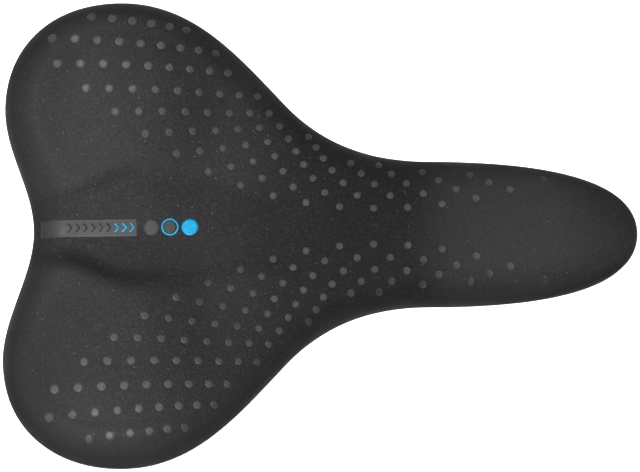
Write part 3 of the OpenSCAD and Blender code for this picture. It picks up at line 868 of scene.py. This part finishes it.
def make_shell():
    """The moulded pan, with stiffening ribs, a boss for each spring and the block over the nose joint."""
    lips = [rim_ring(SHELL_EDGE, SKIN + GAP), rim_ring(SHELL_EDGE + SHELL_T, SKIN + GAP)]
    pieces = [loft("pan", dome(shell_ring, 0, 20, 10) + lips + dome(shell_ring, SHELL_T, 20, 10)[::-1])]
    profile = [(-1.3, 0.5), (-0.9, -1.5), (-0.6, -1.9), (0.6, -1.9), (0.9, -1.5), (1.3, 0.5)]
    for path in rib_paths():
        path[:, 2] = shell_height(path[:, 0]) - SHELL_T
        last = len(path) * len(profile) - 1
        caps = [tuple(range(len(profile))), tuple(range(last, last - len(profile), -1))]
        pieces.append(loft("rib", bar(path, profile), caps=caps))
    top = SHELL_TOP - SHELL_T + EMBED
    low = SHELL_TOP - BOSS_DROP
    profile = [(BOSS_BORE, low), (BOSS_R - 1, low), (BOSS_R - 0.3, low + 0.3), (BOSS_R, low + 1),
               (BOSS_R + 0.4, low + 1.6), (BOSS_R + 1.6, low + 2.2), (BOSS_R + 1.6, top), (BOSS_BORE, top)]
    for node in ("elastomer_left", "elastomer_right"):
        pieces.append(lathe("boss", profile, sum(box_of(node)) / 2))
    pieces.append(nose_block())
    hand_over(join(pieces, "shell_pan", NYLON), "saddle_top", "base_shell")


def nose_block():
    """A rounded block with the upper half of the bush's seat cut along its underside."""
    half_x, half_y = NOSE_BOSS
    seat, chamfer, rounding = 6.05, 0.6, 0.5
    low, top = PIVOT[2] + 0.15, shell_height(PIVOT[0]) - SHELL_T + EMBED
    arc = np.linspace(math.pi, 0, 25)
    lower = [(-half_x, low + chamfer), (-half_x + chamfer, low)]
    lower += [(seat * math.cos(a), max(low, PIVOT[2] + seat * math.sin(a))) for a in arc]
    lower += [(half_x - chamfer, low), (half_x, low + chamfer)]
    outline = lower + [(x, top) for x, _ in lower[::-1]]
    count = len(outline)
    rings = [[(PIVOT[0] + x * (1 - inset / half_x), y, z) for x, z in outline]
             for y, inset in ((-half_y, rounding), (-half_y + rounding, 0),
                              (half_y - rounding, 0), (half_y, rounding))]
    caps = []
    for start in (0, 3 * count):
        for k in range(len(lower) - 1):
            a, b = start + k, start + count - 1 - k
            caps.append((a, a + 1, b - 1, b))
    return loft("block", rings, caps=caps)


def join(pieces, name, material):
    """One object made of several closed forms, with softened shading at its edges."""
    bm = bmesh.new()
    for piece in pieces:
        bm.from_mesh(piece.data)
        bpy.data.objects.remove(piece)
    mesh = bpy.data.meshes.new(name)
    bm.to_mesh(mesh)
    bm.free()
    obj = link_mesh(name, mesh, material)
    mesh.set_sharp_from_angle(angle=math.radians(SHARP_ANGLE))
    return obj


def rounded_path(corners, radii):
    """Points along a line through the corners, with an arc of its own radius at each."""
    turn = 3.0      # degrees between an arc's points
    path = [corners[0]]
    for a, b, c, radius in zip(corners, corners[1:], corners[2:], radii):
        u, v = unit(b - a), unit(c - b)
        angle = math.acos(float(np.clip(u @ v, -1, 1)))
        reach = radius * math.tan(angle / 2)
        start, inner = b - u * reach, unit(v - u * (u @ v))
        for t in np.linspace(0, angle, max(2, math.ceil(math.degrees(angle) / turn))):
            path.append(start + u * radius * math.sin(t) + inner * radius * (1 - math.cos(t)))
    return np.array(path + [corners[-1]])


def tube(name, path, r, material):
    """A round wire along the path, with eased ends."""
    way = unit(np.gradient(path, axis=0))
    side = unit(np.cross(way[0], [0, 0, 1.0]))
    angles = np.linspace(0, 2 * math.pi, 40, endpoint=False)[:, None]
    rings = []
    for p, d in zip(path, way):
        side = unit(side - d * (side @ d))
        rings.append(p + r * (np.cos(angles) * side + np.sin(angles) * np.cross(d, side)))
    for end, step in ((0, 1), (-1, -1)):
        eased = [path[end] + (rings[end] - path[end]) * share + way[end] * step * ahead
                 for share, ahead in ((0.0, 0.0), (0.8, 0.0), (0.93, 0.12), (1.0, 0.6))]
        rings = eased + rings[1:] if step == 1 else rings[:-1] + eased[::-1]
    return loft(name, rings, material)


def make_rails():
    """One wire: socket, rear bend, straight, rise to the nose, and back along the other side."""
    wire_r, half_straight, bend_r = 3.5, 32, 20
    rear = half_straight + bend_r * math.tan(math.radians(20.8))
    front = half_straight + bend_r * math.tan(math.radians(15.1))
    side = np.array([(-86, 30, 13), (-56.5, 30, 13), (-rear, 22, 0), (front, 22, 0),
                     (PIVOT[0] - 14, NOSE_SPACING / 2, PIVOT[2]),
                     (PIVOT[0], NOSE_SPACING / 2, PIVOT[2])], float)
    other = side[::-1] * [1, -1, 1]
    radii = [bend_r, bend_r, bend_r, 18, 8]
    path = rounded_path(np.vstack([side, other]), radii + radii[::-1])
    hand_over(tube("rail_wire", path, wire_r, RAIL), "undercarriage", "rails")


# ---------------------------------------------------------------- CAD pieces

BEVEL_ANGLE = 40            # edges that are sharper than this are softened


def dress(node, material, bevel):
    """Gives a carried-over CAD node its material, smooth curves and softened edges."""
    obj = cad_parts[node]
    obj.data.materials.clear()
    obj.data.materials.append(material)
    obj.data.polygons.foreach_set("use_smooth", [True] * len(obj.data.polygons))
    weld = obj.modifiers.new("weld", "WELD")
    weld.merge_threshold = 1e-6
    edge = obj.modifiers.new("edges", "BEVEL")
    edge.width = bevel * MM
    edge.segments = 2
    edge.limit_method = "ANGLE"
    edge.angle_limit = math.radians(BEVEL_ANGLE)
    obj.modifiers.new("normals", "WEIGHTED_NORMAL")


# ---------------------------------------------------------------- build

cloth = cloth_rise()
cover_tree = tree_of(make_cover(cloth))
make_foam(cloth)
make_gel(1, "gel_insert_left", "gel_pad_left", cloth)
make_gel(-1, "gel_insert_right", "gel_pad_right", cloth)
make_trim()
print_dots(cover_tree)
print_badge(cover_tree)
make_elastomer("left")
make_elastomer("right")
make_shell()
make_rails()

for node, material, bevel in (
        ("rear_bridge", NYLON, 0.6), ("nose_clamp_plate", NYLON, 0.5), ("cover_staples", ZINC, 0.12),
        ("nose_clamp_screws", ZINC, 0.25), ("rail_grub_screws", ZINC, 0.15),
        ("nose_inserts", BRASS, 0.15), ("nose_bush", BUSH, 0.3)):
    dress(node, material, bevel)
for node, material, bevel in (
        ("upper_cup", GLOSS, 0.5), ("t_nut", ZINC, 0.15), ("suspension_bolt", ZINC, 0.35),
        ("bolt_washer", ZINC, 0.2), ("bridge_bush", BUSH, 0.25)):
    for side in ("_left", "_right"):
        dress(node + side, material, bevel)

# ---------------------------------------------------------------- stage
# Places and sizes of the lights and the camera are in metres, and powers in watts.


def make_floor():
    """A pale floor that glows more for the camera than for the saddle."""
    bpy.ops.mesh.primitive_plane_add(size=12, location=(0, 0, cad_low.z - 0.0002))
    floor = bpy.context.object
    floor.name = "floor"
    g = Graph("floor")
    seen = g.node("ShaderNodeLightPath").outputs["Is Camera Ray"]
    g.set(Base_Color=g.mix(g.clouds(6, 3), (0.9, 0.9, 0.9, 1), (0.94, 0.94, 0.94, 1)), Roughness=0.85,
          Emission_Color=(1, 1, 1, 1), Emission_Strength=g.spread(seen, 0, 1, 0.15, 0.86))
    floor.data.materials.append(g.material)


def add_light(name, place, target, size, power, spread=180):
    data = bpy.data.lights.new(name, "AREA")
    data.shape = "RECTANGLE"
    data.size, data.size_y = size
    data.energy = power
    data.spread = math.radians(spread)
    light = bpy.data.objects.new(name, data)
    light.location = place
    light.rotation_euler = (Vector(target) - Vector(place)).to_track_quat("-Z", "Y").to_euler()
    light.visible_camera = False
    bpy.context.scene.collection.objects.link(light)


def make_lights():
    """A soft light overhead, a faint one from each side, and narrow ones on the lobes and the nose."""
    world = bpy.data.worlds.new("studio")
    world.use_nodes = True
    background = world.node_tree.nodes["Background"]
    background.inputs["Color"].default_value = (0.95, 0.96, 1.0, 1)
    background.inputs["Strength"].default_value = 0.1
    bpy.context.scene.world = world
    middle, left, right, nose = (0, 0, 0.05), (-0.08, 0.05, 0.07), (-0.08, -0.05, 0.07), (0.1, 0, 0.06)
    add_light("overhead", (0.0, 0.1, 1.2), middle, (0.9, 0.7), 0.5)
    add_light("right_accent", (-0.25, -0.65, 0.75), right, (0.16, 0.12), 0.12, 13)
    add_light("left_accent", (-0.35, 0.3, 0.9), left, (0.16, 0.12), 0.08, 13)
    add_light("nose_accent", (0.6, -0.1, 0.8), nose, (0.12, 0.12), 0.055, 10)
    for name, x, y, power in (("left_side", 0, 1, 0.65), ("right_side", 0, -1, 0.55),
                              ("rear_side", -1, 0, 0.6), ("front_side", 1, 0, 0.6)):
        add_light(name, (x, y, 0.25), middle, (0.8, 0.35), power)


def make_camera():
    """A long lens nearly straight above, tipped a little towards the saddle's right side."""
    elevation = math.radians(81)
    filled = 633 / 640          # share of the picture's width
    data = bpy.data.cameras.new("camera")
    data.sensor_width = 36
    data.lens = 300
    camera = bpy.data.objects.new("camera", data)
    target = Vector(((TAIL + TIP) / 2 * MM - 0.0002, -0.0003, (RIM + WIDEST_UP) * MM))
    back = Vector((0, -math.cos(elevation), math.sin(elevation)))
    distance = (TIP - TAIL) * MM / filled / (data.sensor_width / data.lens)
    camera.location = target + back * distance
    camera.rotation_mode = "QUATERNION"
    camera.rotation_quaternion = (-back).to_track_quat("-Z", "Y")
    bpy.context.scene.collection.objects.link(camera)
    bpy.context.scene.camera = camera


make_floor()
make_lights()
make_camera()
bpy.context.scene.view_settings.view_transform = "Standard"
